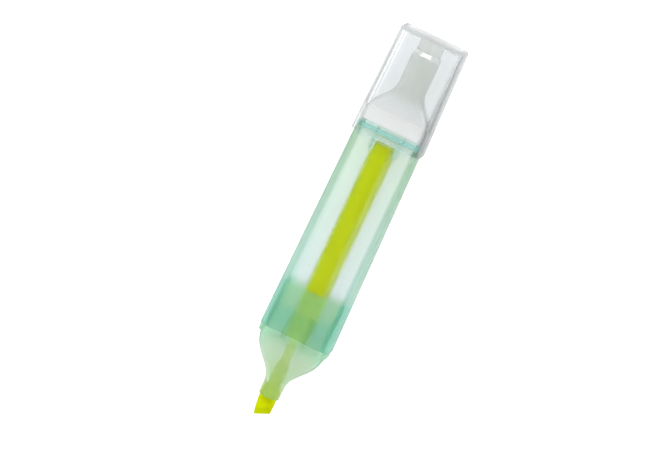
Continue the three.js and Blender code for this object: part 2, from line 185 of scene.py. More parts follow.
# Gaps between a rim, or a step, and the first plain ring beside it; and the sliver that a square
# step is made over.
RIM_GAP = 0.8
STEP_GAP = 0.5
EDGE_GAP = 0.4
STEP_RISE = 0.05


# ---------- Cross-sections: (width across Y, depth through Z, corner radius) ----------
def lerp(a, b, t):
    return a + (b - a) * t


def mix(a, b, t):
    return tuple(lerp(p, q, t) for p, q in zip(a, b))


def inset(section, by):
    w, d, r = section
    return (w - 2 * by, d - 2 * by, max(r - by, LEAST_CORNER))


def circle(radius):
    return (2 * radius, 2 * radius, radius)


def barrel_outer(x):
    return mix(BARREL_FRONT, BARREL_REAR, (x - FRONT_X) / (REAR_X - FRONT_X))


def barrel_inner(x):
    return inset(barrel_outer(x), BARREL_WALL)


def skirt_outer(x):
    return inset(barrel_inner(x), FIT_GAP)


def cap_outer(x):
    return mix(CAP_MOUTH, CAP_END, (x - MOUTH_X) / (CAP_END_X - MOUTH_X))


def ease(x0, y0, x1, x2, y3, x3):
    """An S-curve from (x0, y0) to (x3, y3), a cubic whose two handles are level, as y of x."""
    t = np.linspace(0, 1, EASE_SAMPLES)
    xs = (1 - t) ** 3 * x0 + 3 * (1 - t) ** 2 * t * x1 + 3 * (1 - t) * t**2 * x2 + t**3 * x3
    ys = y0 + (y3 - y0) * (3 * t**2 - 2 * t**3)
    return lambda x: float(np.interp(x, xs, ys))


nose_half_width = ease(0, DOME_BASE[0] / 2, *NOSE_WIDTH_HANDLES, NECK_RADIUS, DOME_LENGTH)
nose_half_depth = ease(0, DOME_BASE[1] / 2, *NOSE_DEPTH_HANDLES, NECK_RADIUS, DOME_LENGTH)


def nose_outer(x):
    s = COLLAR_X - x
    d = 2 * nose_half_depth(s)
    share = min(max(s / DOME_LENGTH, 0), 1)
    return (2 * nose_half_width(s), d, lerp(DOME_BASE[2], d / 2, math.sqrt(share)))


# ---------- Rings and skins ----------
def ring(x, section):
    """The outline of a cross-section at x, always with the same number of points."""
    w, d, r = section
    r = min(r, w / 2 - LEAST_FLAT, d / 2 - LEAST_FLAT)
    across, through = w / 2 - r, d / 2 - r
    corners = ((across, through), (-across, through), (-across, -through), (across, -through))
    steps = (BROAD_STEPS, NARROW_STEPS, BROAD_STEPS, NARROW_STEPS)
    points = []
    for k, (cy, cz) in enumerate(corners):
        arc = [math.pi / 2 * (k + j / CORNER_STEPS) for j in range(CORNER_STEPS + 1)]
        points += [(cy + r * math.cos(a), cz + r * math.sin(a)) for a in arc]
        last = points[-1]
        ny, nz = corners[(k + 1) % 4]
        turn = math.pi / 2 * (k + 1)
        goal = (ny + r * math.cos(turn), nz + r * math.sin(turn))
        for j in range(1, steps[k]):
            t = j / steps[k]
            points.append((lerp(last[0], goal[0], t), lerp(last[1], goal[1], t)))
    return [(x, y, AXIS_Z + z) for y, z in points]


def skin(rings, loop=False):
    """Faces between successive rings. A loop joins the last to the first, and otherwise both
    ends are closed."""
    count = len(rings[0])
    points = [p for one in rings for p in one]
    pairs = list(zip(range(len(rings)), range(1, len(rings))))
    if loop:
        pairs.append((len(rings) - 1, 0))
    faces = []
    for a, b in pairs:
        for k in range(count):
            n = (k + 1) % count
            faces.append((a * count + k, a * count + n, b * count + n, b * count + k))
    if not loop:
        for base, flip in ((0, True), ((len(rings) - 1) * count, False)):
            centre = len(points)
            points.append(tuple(np.mean(points[base : base + count], axis=0)))
            for k in range(count):
                n = (k + 1) % count
                edge = (base + n, base + k) if flip else (base + k, base + n)
                faces.append((*edge, centre))
    return points, faces


def fillet(x, section, edge, end):
    """Rings that round a rim of the section at x. end is +1 at a rim that faces +X, -1 at -X."""
    rings = []
    for k in range(FILLET_STEPS + 1):
        turn = math.pi / 2 * k / FILLET_STEPS
        back, by = edge * (1 - math.sin(turn)), edge * (1 - math.cos(turn))
        rings.append((x - end * back, inset(section, by)))
    return rings


def hole_fillet(x, section, edge, end):
    """The same for the rim of a hole of that section, from the face into the hole."""
    rings = []
    for k in range(FILLET_STEPS + 1):
        turn = math.pi / 2 * k / FILLET_STEPS
        back, by = edge * (1 - math.cos(turn)), edge * (1 - math.sin(turn))
        rings.append((x - end * back, inset(section, -by)))
    return rings


def along(x0, x1, steps, section):
    return [(lerp(x0, x1, k / steps), section(lerp(x0, x1, k / steps))) for k in range(steps + 1)]


# ---------- Objects ----------
def new_object(name, points, faces):
    mesh = bpy.data.meshes.new(name)
    mesh.from_pydata([Vector(p) * MM for p in points], [], faces)
    body = bmesh.new()
    body.from_mesh(mesh)
    bmesh.ops.remove_doubles(body, verts=body.verts, dist=WELD * MM)
    bmesh.ops.recalc_face_normals(body, faces=body.faces)
    body.to_mesh(mesh)
    body.free()
    made = bpy.data.objects.new(name, mesh)
    bpy.context.scene.collection.objects.link(made)
    return made


def from_stations(name, stations, loop=False):
    return new_object(name, *skin([ring(x, section) for x, section in stations], loop))


BOX_FACES = [(0, 1, 3, 2), (4, 6, 7, 5), (0, 4, 5, 1), (2, 3, 7, 6), (0, 2, 6, 4), (1, 5, 7, 3)]


def block(name, x0, x1, y0, y1, z0, z1):
    points = [(x, y, AXIS_Z + z) for x in (x0, x1) for y in (y0, y1) for z in (z0, z1)]
    return new_object(name, points, BOX_FACES)


def apply_modifiers(piece):
    bpy.context.view_layer.update()
    evaluated = piece.evaluated_get(bpy.context.evaluated_depsgraph_get())
    mesh = bpy.data.meshes.new_from_object(evaluated)
    piece.modifiers.clear()
    old, piece.data = piece.data, mesh
    mesh.name = piece.name
    bpy.data.meshes.remove(old)


def combine(piece, other, operation):
    """Joins or cuts piece with other, and deletes other."""
    cut = piece.modifiers.new("combine", "BOOLEAN")
    cut.operation = operation
    cut.solver = "MANIFOLD"
    cut.object = other
    apply_modifiers(piece)
    bpy.data.objects.remove(other)


def finish_surface(piece, sharp_degrees=32):
    """Smooth shading with weighted normals, and sharp edges where the surface really turns."""
    mesh = piece.data
    body = bmesh.new()
    body.from_mesh(mesh)
    limit = math.radians(sharp_degrees)
    for edge in body.edges:
        edge.smooth = len(edge.link_faces) == 2 and edge.calc_face_angle(0) < limit
    for face in body.faces:
        face.smooth = True
    body.to_mesh(mesh)
    body.free()
    weighted = piece.modifiers.new("weighted normals", "WEIGHTED_NORMAL")
    weighted.keep_sharp = True
    weighted.mode = "FACE_AREA"
    weighted.weight = 60


def install(piece, body, node, material):
    piece.data.materials.clear()
    piece.data.materials.append(material)
    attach(piece, body)
    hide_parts(node)


# ---------- Materials ----------
class Material:
    """A node material with one Principled shader, and short calls for what feeds it."""

    def __init__(self, name):
        self.data = bpy.data.materials.new(name)
        self.data.use_nodes = True
        self.nodes = self.data.node_tree.nodes
        self.links = self.data.node_tree.links
        self.shader = self.nodes["Principled BSDF"]
        self.out = self.nodes["Material Output"]
        self.place = self.add("ShaderNodeTexCoord").outputs["Object"]

    def add(self, kind, **values):
        node = self.nodes.new(kind)
        for key, value in values.items():
            setattr(node, key, value)
        return node

    def set(self, **values):
        for key, value in values.items():
            self.shader.inputs[key.replace("_", " ")].default_value = value

    def stretched(self, x, y, z):
        """Object coordinates scaled along each axis: a small x makes marks long along the pen."""
        node = self.add("ShaderNodeMapping")
        node.inputs["Scale"].default_value = (x, y, z)
        self.links.new(self.place, node.inputs["Vector"])
        return node.outputs["Vector"]

    def noise(self, place, scale, detail=3.0, roughness=0.5):
        node = self.add("ShaderNodeTexNoise")
        node.inputs["Scale"].default_value = scale
        node.inputs["Detail"].default_value = detail
        node.inputs["Roughness"].default_value = roughness
        self.links.new(place, node.inputs["Vector"])
        return node.outputs["Fac"]

    def ramp(self, value, stops):
        node = self.add("ShaderNodeValToRGB")
        while len(node.color_ramp.elements) < len(stops):
            node.color_ramp.elements.new(0.5)
        for element, (at, colour) in zip(node.color_ramp.elements, stops):
            element.position = at
            element.color = (*colour, 1)
        self.links.new(value, node.inputs["Fac"])
        return node.outputs["Color"]

    def range(self, value, low, high):
        node = self.add("ShaderNodeMapRange")
        node.inputs["To Min"].default_value = low
        node.inputs["To Max"].default_value = high
        self.links.new(value, node.inputs["Value"])
        return node.outputs["Result"]

    def sum(self, a, b, share=1.0):
        node = self.add("ShaderNodeMath", operation="MULTIPLY_ADD")
        node.inputs[1].default_value = share
        self.links.new(b, node.inputs[0])
        self.links.new(a, node.inputs[2])
        return node.outputs[0]

    def axis_range(self, axis, start, end, smooth=True):
        """Runs from 0 to 1 between two places on an axis, in metres."""
        split = self.add("ShaderNodeSeparateXYZ")
        self.links.new(self.place, split.inputs["Vector"])
        node = self.add("ShaderNodeMapRange")
        node.interpolation_type = "SMOOTHSTEP" if smooth else "LINEAR"
        node.inputs["From Min"].default_value = start
        node.inputs["From Max"].default_value = end
        self.links.new(split.outputs[axis], node.inputs["Value"])
        return node.outputs["Result"]

    def along_pen(self, stops, drift):
        """Colours at places along the pen, in millimetres, blurred into each other by a drift."""
        first, last = stops[0][0], stops[-1][0]
        place = self.axis_range("X", first * MM, last * MM, smooth=False)
        shares = [((x - first) / (last - first), colour) for x, colour in stops]
        return self.ramp(self.sum(place, self.range(drift, -DRIFT_REACH, DRIFT_REACH)), shares)

    def narrow_sides(self, start, end):
        """0 over the broad faces, 1 at both narrow sides."""
        one = self.axis_range("Y", start * MM, end * MM)
        return self.sum(one, self.axis_range("Y", -start * MM, -end * MM))

    def blend(self, share, colour, other):
        """From a colour to another one, which is a plain colour or a socket that gives one."""
        node = self.add("ShaderNodeMix", data_type="RGBA")
        self.links.new(share, node.inputs["Factor"])
        self.links.new(colour, node.inputs["A"])
        if isinstance(other, tuple):
            node.inputs["B"].default_value = (*other, 1)
        else:
            self.links.new(other, node.inputs["B"])
        return node.outputs["Result"]

    def feed(self, socket, value):
        self.links.new(value, self.shader.inputs[socket])

    def bump(self, height, distance, strength=1.0):
        node = self.add("ShaderNodeBump")
        node.inputs["Strength"].default_value = strength
        node.inputs["Distance"].default_value = distance
        self.links.new(height, node.inputs["Height"])
        self.links.new(node.outputs["Normal"], self.shader.inputs["Normal"])

    def absorb(self, colour, density):
        node = self.add("ShaderNodeVolumeAbsorption")
        node.inputs["Color"].default_value = (*colour, 1)
        node.inputs["Density"].default_value = density
        self.links.new(node.outputs["Volume"], self.out.inputs["Volume"])
        return self


# How far a material's drift moves the colours along a piece, as a share of its length; how much of
# a polished surface's mirror image a matt one still gives when it is looked at squarely; and the
# finish of a polished stretch, whose high index makes its reflections strong.
DRIFT_REACH = 0.05
MATT_SHEEN = (0.3, 0.3, 0.3, 1)
POLISH_ROUGHNESS = 0.12
POLISH_INDEX = 2.4
POLISH_BLUR = 0.4


def frosted_plastic(
    name, tints, sides, absorb, density, clear=1.0, matt=0.33, index=1.35, polish=()
):
    """Moulded translucent plastic: a fine matt grain, faint flow streaks, tints that change along
    the pen, deeper tints where the wall turns into the narrow sides as painted shade, and any
    polished stretch."""
    made = Material(name)
    drift = made.noise(made.stretched(45, 120, 120), 1.0, 2.0)
    # The narrow sides get deeper tints, which are painted shade for the wall seen edge on, and a
    # rougher finish.
    edge = made.narrow_sides(*BARREL_SIDE)
    faces_tint, side_shade_tint = made.along_pen(tints, drift), made.along_pen(sides, drift)
    made.feed("Base Color", made.blend(edge, faces_tint, side_shade_tint))
    streaks = made.noise(made.stretched(90, 900, 900), 1.0, 3.0)
    rough = made.range(streaks, matt - 0.03, matt + 0.03)
    made.feed("Roughness", made.sum(rough, edge, 0.25))
    grain = made.noise(made.place, 9000, 2.0)
    made.bump(made.sum(grain, streaks, 2.0), 0.000004, 0.5)
    made.set(IOR=index, Transmission_Weight=clear, Specular_Tint=MATT_SHEEN)
    if polish:
        made.feed("Coat Weight", made.along_pen(polish, drift))
        made.set(Coat_Roughness=POLISH_ROUGHNESS, Coat_IOR=POLISH_INDEX)
    return made.absorb(absorb, density).data


def clear_plastic(name):
    """Polished polystyrene with faint mould flow, a few handling rubs, duller narrow sides, and
    painted shade: a grey tint down the -Y side and on the end wall.
    """
    made = Material(name)
    flow = made.noise(made.stretched(60, 220, 220), 1.0, 2.0)
    rubs = made.noise(made.stretched(900, 260, 900), 1.0, 4.0, 0.6)
    edge = made.narrow_sides(*CAP_SIDE)
    # Painted shade: the end wall is tinted grey; it is also made rougher.
    end_start, end_full = [(CAP_END_X - depth) * MM for depth in CAP_END_SHADE]
    end = made.axis_range("X", end_start, end_full)
    # Painted shade: the cap's -Y side is tinted grey.
    right_shade = made.axis_range("Y", -CAP_SIDE[0] * MM, -CAP_SIDE[1] * MM)
    rough = made.sum(made.range(rubs, 0.02, 0.07), edge, 0.3)
    made.feed("Roughness", made.sum(rough, end, 0.3))
    base = made.ramp(flow, [(0.3, (0.93, 0.945, 0.955)), (0.7, (0.955, 0.965, 0.97))])
    step_x = MOUTH_X + CAP_STEP
    thin = made.axis_range("X", (step_x + CAP_TINT_BLUR) * MM, (step_x - CAP_TINT_BLUR) * MM)
    base = made.blend(thin, base, (1.0, 1.0, 1.0))
    base = made.blend(edge, base, (0.93, 0.94, 0.94))
    base = made.blend(right_shade, base, (0.60, 0.62, 0.62))
    made.feed("Base Color", made.blend(end, base, (0.70, 0.71, 0.71)))
    made.bump(flow, 0.00002, 0.4)
    made.set(IOR=1.36, Transmission_Weight=1.0)
    return made.absorb((0.72, 0.8, 0.8), 30).data


def felt(name, dark, light, fibre_scale, glow):
    """Fibre soaked in fluorescent ink: hair-fine strands along the pen and darker soaked patches.
    It glows a little, partly the ink's own fluorescence and partly painted light that brightens
    fibre in the plastic's shade. Each colour and the glow are lists along the pen; where they
    brighten fibre inside the plastic, that is painted light too."""
    made = Material(name)
    strands = made.noise(made.stretched(500, fibre_scale, fibre_scale), 1.0, 4.0, 0.6)
    patches = made.noise(made.place, 350, 3.0)
    drift = made.noise(made.stretched(45, 120, 120), 1.0, 2.0)
    mixed = made.ramp(made.sum(strands, patches, 0.4), [(0.45, (0, 0, 0)), (0.95, (1, 1, 1))])
    dark_ink, light_ink = made.along_pen(dark, drift), made.along_pen(light, drift)
    made.feed("Base Color", made.blend(mixed, dark_ink, light_ink))
    made.feed("Roughness", made.range(strands, 0.75, 0.95))
    made.bump(strands, 0.00006, 0.8)
    made.feed("Emission Color", made.along_pen(glow, drift))
    made.set(Specular_IOR_Level=0.04, Emission_Strength=1.0)
    return made.data


BARREL_PLASTIC = frosted_plastic(
    "barrel_frosted",
    tints=(
        (FRONT_X + 10, (0.935, 0.96, 0.995)),
        (REAR_X - 4, (0.91, 0.955, 0.915)),
        (REAR_X - 2, (0.98, 1.0, 0.98)),
        (REAR_X, (0.98, 1.0, 0.98)),
    ),
    sides=(
        (FRONT_X + 14, (0.56, 0.85, 0.80)),
        (FRONT_X + 16, (0.68, 0.83, 0.79)),
        (FRONT_X + 36, (0.65, 0.79, 0.74)),
        (REAR_X - 4, (0.60, 0.75, 0.62)),
        (REAR_X - 2, (0.72, 0.86, 0.74)),
        (REAR_X, (0.72, 0.86, 0.74)),
    ),
    absorb=(0.45, 0.76, 0.55),
    density=70,
)
# The dome's tints are less green than the skirt's: painted shade that evens out the dome's stronger
# backlight.
SECTION_PLASTIC = frosted_plastic(
    "section_teal",
    tints=(
        (NECK_X, (0.75, 0.85, 0.50)),
        (COLLAR_X - 9, (0.74, 0.83, 0.69)),
        (COLLAR_X - 4, (0.78, 0.84, 0.75)),
        (COLLAR_X + 1, (0.68, 0.84, 0.72)),
        (FRONT_X + 0.5, (0.68, 0.91, 0.79)),
        (FRONT_X + SKIRT_THICK_LENGTH - 1, (0.68, 0.93, 0.79)),
        (FRONT_X + SKIRT_THICK_LENGTH + 1, (0.82, 0.97, 0.79)),
        (SECTION_HIGH.x, (0.82, 0.97, 0.79)),
    ),
    sides=((NECK_X, (0.74, 0.90, 0.80)), (SECTION_HIGH.x, (0.80, 1.0, 0.90))),
    absorb=(0.03, 0.63, 0.2),
    density=90,
    clear=0.9,
)
PLUG_PLASTIC = frosted_plastic(
    "plug_teal",
    tints=(
        (PLUG_LOW.x, (1.0, 1.0, 1.0)),
        (REAR_X, (1.0, 1.0, 1.0)),
        (PLUG_END_X, (0.97, 1.0, 1.0)),
    ),
    sides=((PLUG_LOW.x, (1.0, 1.0, 1.0)), (PLUG_END_X, (0.96, 1.0, 1.0))),
    absorb=(0.0, 0.767, 0.667),
    density=80,
    matt=0.22,
    index=1.2,
)
LINER_PLASTIC = frosted_plastic(
    "liner_milky",
    tints=((MOUTH_X + 11, (1.0, 1.0, 1.0)), (MOUTH_X + 14.5, (0.90, 0.91, 0.88))),
    sides=((MOUTH_X + 11, (1.0, 1.0, 1.0)), (MOUTH_X + 14.5, (0.96, 0.96, 0.95))),
    absorb=(0.6, 0.62, 0.56),
    density=20,
    clear=0.985,
    index=1.15,
    polish=(
        (SHOULDER_X - POLISH_BLUR, (0, 0, 0)),
        (SHOULDER_X, (1, 1, 1)),
        (SHOULDER_X + LINER_SHOULDER, (1, 1, 1)),
        (SHOULDER_X + LINER_SHOULDER + POLISH_BLUR, (0, 0, 0)),
    ),
)
CAP_PLASTIC = clear_plastic("cap_clear")
# Painted light: the nib's colours and glow are brighter where it lies inside the section, whose
# plastic shades it.
NIB_FELT = felt(
    "nib_felt",
    dark=(
        (NECK_X - 0.6, (0.30, 0.34, 0.0)),
        (NECK_X + 0.4, (0.46, 0.54, 0.0)),
        (COLLAR_X, (0.6, 0.66, 0.0)),
    ),
    light=(
        (NECK_X - 0.6, (0.40, 0.45, 0.0)),
        (NECK_X + 0.4, (0.56, 0.65, 0.0)),
        (COLLAR_X, (0.72, 0.78, 0.0)),
    ),
    fibre_scale=9000,
    glow=(
        (NECK_X - 0.6, (0.035, 0.045, 0.0)),
        (NECK_X + 0.4, (0.09, 0.12, 0.0)),
        (COLLAR_X, (0.18, 0.19, 0.2)),
    ),
)
# Inside the section the fibre is lit through green plastic; its colours there are greener and
# brighter and its glow stronger, which is painted light, and its glow all along is partly painted
# light too.
CORE_FIBRE = felt(
    "reservoir_fibre",
    dark=((SECTION_HIGH.x - 1, (0.62, 0.76, 0.02)), (SECTION_HIGH.x, (0.60, 0.66, 0.0))),
    light=((SECTION_HIGH.x - 1, (0.76, 0.90, 0.03)), (SECTION_HIGH.x, (0.74, 0.79, 0.003))),
    fibre_scale=7000,
    glow=(
        (CORE_LOW.x, (0.30, 0.34, 0.12)),
        (SECTION_HIGH.x - 1, (0.19, 0.27, 0.07)),
        (SECTION_HIGH.x, (0.17, 0.17, 0.0)),
    ),
)


def film_material(name, tints, clear):
    """Thin clear wrap, slightly wrinkled."""
    made = Material(name)
    wrinkles = made.noise(made.stretched(120, 900, 900), 1.0, 3.0)
    made.feed("Roughness", made.range(wrinkles, 0.1, 0.2))
    made.feed("Base Color", made.ramp(wrinkles, [(0.3, tints[0]), (0.7, tints[1])]))
    made.bump(wrinkles, 0.00002, 0.5)
    made.set(IOR=1.2, Transmission_Weight=clear, Specular_Tint=MATT_SHEEN)
    return made.data


FILM = film_material("reservoir_wrap", ((0.95, 0.97, 0.85), (0.99, 1, 0.95)), 1.0)
# The lap is tinted yellow and is less clear than the rest of the wrap.
FILM_LAP = film_material("reservoir_wrap_lap", ((0.98, 1.0, 0.42), (1.0, 1.0, 0.52)), 0.8)


# ---------- Barrel ----------
def make_barrel():
    outer = fillet(FRONT_X, barrel_outer(FRONT_X), BARREL_EDGE, -1)[::-1]
    outer += along(FRONT_X + 1, REAR_X - 1, 24, barrel_outer)
    outer += fillet(REAR_X, barrel_outer(REAR_X), BARREL_EDGE, 1)
    inner = hole_fillet(REAR_X, barrel_inner(REAR_X), BARREL_EDGE, 1)
    inner += along(REAR_X - 1, FRONT_X + 1, 24, barrel_inner)
    inner += hole_fillet(FRONT_X, barrel_inner(FRONT_X), BARREL_EDGE, -1)[::-1]
    barrel = from_stations("barrel_shell", outer + inner, loop=True)
    finish_surface(barrel)
    install(barrel, "pen", "barrel", BARREL_PLASTIC)


# ---------- Nib section ----------
def make_section():
    skirt_rear = SECTION_HIGH.x
    thick_rear = FRONT_X + SKIRT_THICK_LENGTH
    collar_rear = FRONT_X - FACE_GAP
    head_rear = NECK_X + NIB_HEAD_SEAT + NIB_CLEARANCE
    bore_end = COLLAR_X - DOME_HOLLOW
    bore = circle(NIB_BODY_RADIUS + NIB_CLEARANCE)
    head_hole = inset(NIB_HEAD, -NIB_CLEARANCE)

    outer = fillet(NECK_X, circle(NECK_RADIUS), NECK_EDGE, -1)[::-1]
    neck_end = COLLAR_X - DOME_LENGTH
    outer += along(NECK_X + RIM_GAP, neck_end - STEP_GAP, 4, lambda x: circle(NECK_RADIUS))
    outer += along(neck_end, COLLAR_X - STEP_RISE, CURVE_STEPS, nose_outer)
    outer += [(COLLAR_X, inset(DOME_BASE, -STEP_RISE)), (COLLAR_X, inset(COLLAR, 2 * SECTION_EDGE))]
    outer += fillet(COLLAR_X, COLLAR, SECTION_EDGE, -1)[::-1]
    outer += fillet(collar_rear, COLLAR, SECTION_EDGE, 1)
    outer += [(collar_rear, inset(skirt_outer(FRONT_X), -STEP_RISE))]
    outer += [(collar_rear + STEP_RISE, skirt_outer(FRONT_X))]
    outer += along(FRONT_X + RIM_GAP, skirt_rear - RIM_GAP, 8, skirt_outer)
    outer += fillet(skirt_rear, skirt_outer(skirt_rear), SECTION_EDGE, 1)

    def skirt_inner(x):
        return inset(skirt_outer(x), SKIRT_THICK_WALL if x <= thick_rear else SKIRT_WALL)

    def dome_inner(x):
        w, d, r = inset(nose_outer(x), DOME_WALL)
        least = 2 * (NIB_BODY_RADIUS + NIB_CLEARANCE)
        w, d = max(w, least), max(d, least)
        return (w, d, min(r, d / 2))

    inner = hole_fillet(skirt_rear, skirt_inner(skirt_rear), SECTION_EDGE, 1)
    inner += along(skirt_rear - RIM_GAP, thick_rear + LEAST_FLAT, 4, skirt_inner)
    inner += along(thick_rear, FRONT_X, 4, skirt_inner)
    inner += along(COLLAR_X, bore_end, CURVE_STEPS, dome_inner)
    inner += [(bore_end - STEP_RISE, bore), (head_rear + 0.02, bore), (head_rear, head_hole)]
    inner += along(head_rear - 0.2, NECK_X + EDGE_GAP, 3, lambda x: head_hole)
    inner += hole_fillet(NECK_X, head_hole, INNER_EDGE, -1)[::-1]
    section = from_stations("section_moulding", outer + inner, loop=True)

    # Four short ribs stand on the broad walls beside the reservoir and step in to stop its end.
    stop_x = CORE_LOW.x - FACE_GAP
    rib_rear = thick_rear - RIB_REAR_GAP
    foot = math.sqrt((FILM_RADIUS + NIB_CLEARANCE) ** 2 - RIB_INSIDE**2)
    half_depth = skirt_outer(rib_rear)[1] / 2 - SKIRT_THICK_WALL / 2
    for side in (1, -1):
        for face in (1, -1):
            for x0, x1, step_in in (
                (stop_x - RIB_STOP_OVERLAP, rib_rear, 0),
                (stop_x - RIB_STOP_LENGTH, stop_x, RIB_STOP),
            ):
                ys = sorted((side * (RIB_INSIDE - step_in), side * (RIB_INSIDE + RIB_WALL)))
                zs = sorted((face * (foot - step_in), face * half_depth))
                combine(section, block("rib", x0, x1, *ys, *zs), "UNION")
    finish_surface(section)
    install(section, "pen", "nib_section", SECTION_PLASTIC)


# ---------- Nib ----------
# What the cutting shapes reach past the nib, in millimetres, and how its felt surface is made.
NIB_PLAN_MARGIN = 0.1
NIB_CUT_DEPTH = 3
NIB_WEDGE_REACH = 4
NIB_WEDGE_SPAN = (-1, 2.4)
FELT_VOXEL = 0.11
STRAND_MIDDLE = 0.3
STRAND_HEIGHT = 0.025


def make_nib():
    head_rear = NECK_X + NIB_HEAD_SEAT
    body_rear = head_rear + NIB_BODY_LENGTH
    stem_end = NIB_HIGH.x
    half = NIB_HEAD[0] / 2
    slope = math.tan(NIB_SLANT)
    long_side = half - (NECK_X - TIP_X - NIB_STRAIGHT) * math.tan(NIB_SIDE_TAPER)

    stations = along(TIP_X, head_rear, 30, lambda x: NIB_HEAD)
    body = circle(NIB_BODY_RADIUS)
    stations += along(head_rear + STEP_RISE, body_rear - STEP_RISE, 8, lambda x: body)
    stations += along(body_rear, stem_end - NIB_POINT_LENGTH, 10, lambda x: circle(NIB_STEM_RADIUS))
    stations += [(stem_end, circle(NIB_POINT_RADIUS))]
    nib = from_stations("nib_felt", stations)

    # The wedge: its two bevelled faces meet the slanted edge, and one side narrows towards it.
    def slant_x(y):
        return TIP_X + (long_side - y) * slope

    wide, far_x = half + NIB_PLAN_MARGIN, stem_end + 1
    plan = [(slant_x(long_side), long_side), (NECK_X - NIB_STRAIGHT, wide), (far_x, wide)]
    plan += [(far_x, -wide), (slant_x(-wide), -wide)]
    points = [(x, y, AXIS_Z + z) for z in (-NIB_CUT_DEPTH, NIB_CUT_DEPTH) for x, y in plan]
    count = len(plan)
    faces = [tuple(range(count)), tuple(range(2 * count - 1, count - 1, -1))]
    faces += [(k, (k + 1) % count, (k + 1) % count + count, k + count) for k in range(count)]
    combine(nib, new_object("plan", points, faces), "INTERSECT")
    steepness = (NIB_HEAD[1] / 2 - NIB_EDGE / 2) / NIB_BEVEL_LENGTH
    for sign in (1, -1):
        wedge = []
        for y in (-NIB_WEDGE_REACH, NIB_WEDGE_REACH):
            x = slant_x(y)
            wedge += [(x + past, y, NIB_EDGE / 2 + past * steepness) for past in NIB_WEDGE_SPAN]
            wedge += [(x + past, y, NIB_WEDGE_REACH) for past in NIB_WEDGE_SPAN]
        points = [(x, y, AXIS_Z + sign * z) for x, y, z in wedge]
        combine(nib, new_object("wedge", points, BOX_FACES), "DIFFERENCE")

    # Felt has no crisp edges: the form is remeshed, relaxed and given a fibrous surface.
    fine = nib.modifiers.new("fine", "REMESH")
    fine.mode = "VOXEL"
    fine.voxel_size = FELT_VOXEL * MM
    relax = nib.modifiers.new("relax", "SMOOTH")
    relax.factor = 0.5
    relax.iterations = 3
    apply_modifiers(nib)
    normals = [vertex.normal.copy() for vertex in nib.data.vertices]
    for vertex, normal in zip(nib.data.vertices, normals):
        co = vertex.co / MM
        strand = noise.noise(Vector((co.x * 0.5, co.y * 6, co.z * 6)))
        vertex.co += normal * (strand - STRAND_MIDDLE) * STRAND_HEIGHT * MM
    finish_surface(nib, sharp_degrees=60)
    install(nib, "pen", "nib", NIB_FELT)


# ---------- Reservoir ----------
# How deep the fibre rod's dents are, and how far back and how far in the rings of its ends are.
CORE_DENT = 0.03
CORE_ROUNDING = ((0, 1.2), (0, 0.25), (0.1, 0.08))


def make_core():
    x0, x1 = CORE_LOW.x, CORE_HIGH.x

    def ragged(x, radius):
        points = []
        for k in range(CORE_STEPS):
            angle = 2 * math.pi * k / CORE_STEPS
            y, z = math.cos(angle), math.sin(angle)
            dent = CORE_DENT * (1 + noise.noise(Vector((x * 0.15, y * 9, z * 9))))
            points.append((x, (radius - dent) * y, AXIS_Z + (radius - dent) * z))
        return points

    rings = [ragged(x0 + back, CORE_RADIUS - by) for back, by in CORE_ROUNDING]
    for k in range(CORE_RINGS + 1):
        x = lerp(x0 + EDGE_GAP, x1 - EDGE_GAP, k / CORE_RINGS)
        rings.append(ragged(x, CORE_RADIUS))
    rings += [ragged(x1 - back, CORE_RADIUS - by) for back, by in CORE_ROUNDING[::-1]]
    core = new_object("reservoir_fibre", *skin(rings))
    # The nib's stem is pressed into the front end.
    stem_end = NIB_HIGH.x
    grip = circle(NIB_STEM_RADIUS + NIB_CLEARANCE)
    hole = [(x0 - 1, grip), (stem_end - NIB_POINT_LENGTH, grip)]
    hole += [(stem_end + NIB_CLEARANCE, circle(STEM_HOLE_TIP_RADIUS))]
    combine(core, from_stations("stem_hole", hole), "DIFFERENCE")
    finish_surface(core, sharp_degrees=50)
    install(core, "pen", "reservoir_core", CORE_FIBRE)


def make_film():
    """A strip wrapped once round the fibre, whose edge laps over on the front right."""
    lap = FILM_LAP_TURN
    inner_radius = CORE_RADIUS + FILM_GAP
    lift = FILM_THICKNESS + FILM_LAP_GAP

    def outline(x):
        inner, outer = [], []
        for k in range(FILM_STEPS + 1):
            turn = (2 * math.pi + lap) * k / FILM_STEPS
            rise = lift * min(max((turn - (2 * math.pi - lap)) / lap, 0), 1)
            angle = FILM_LAP_START - turn
            radius = inner_radius + rise
            for r, side in ((radius, inner), (radius + FILM_THICKNESS, outer)):
                side.append((x, -r * math.cos(angle), AXIS_Z + r * math.sin(angle)))
        return inner + outer[::-1]

    x0, x1 = FILM_LOW.x, FILM_HIGH.x
    rings = [outline(lerp(x0, x1, k / FILM_RINGS)) for k in range(FILM_RINGS + 1)]
    count = len(rings[0])
    points = [p for one in rings for p in one]
    faces = []
    for a in range(len(rings) - 1):
        for k in range(count):
            n = (k + 1) % count
            faces.append((a * count + k, a * count + n, (a + 1) * count + n, (a + 1) * count + k))
    half = count // 2
    for base in (0, (len(rings) - 1) * count):
        for k in range(half - 1):
            faces.append((base + k, base + k + 1, base + count - 2 - k, base + count - 1 - k))
    film = new_object("reservoir_wrap", points, faces)
    finish_surface(film, sharp_degrees=50)
    install(film, "pen", "reservoir_film", FILM)
    film.data.materials.append(FILM_LAP)
    for face in film.data.polygons:
        y, z = face.center.y / MM, face.center.z / MM - AXIS_Z
        angle = math.atan2(z, -y)
        face.material_index = 1 if FILM_LAP_START <= angle <= FILM_LAP_START + lap else 0


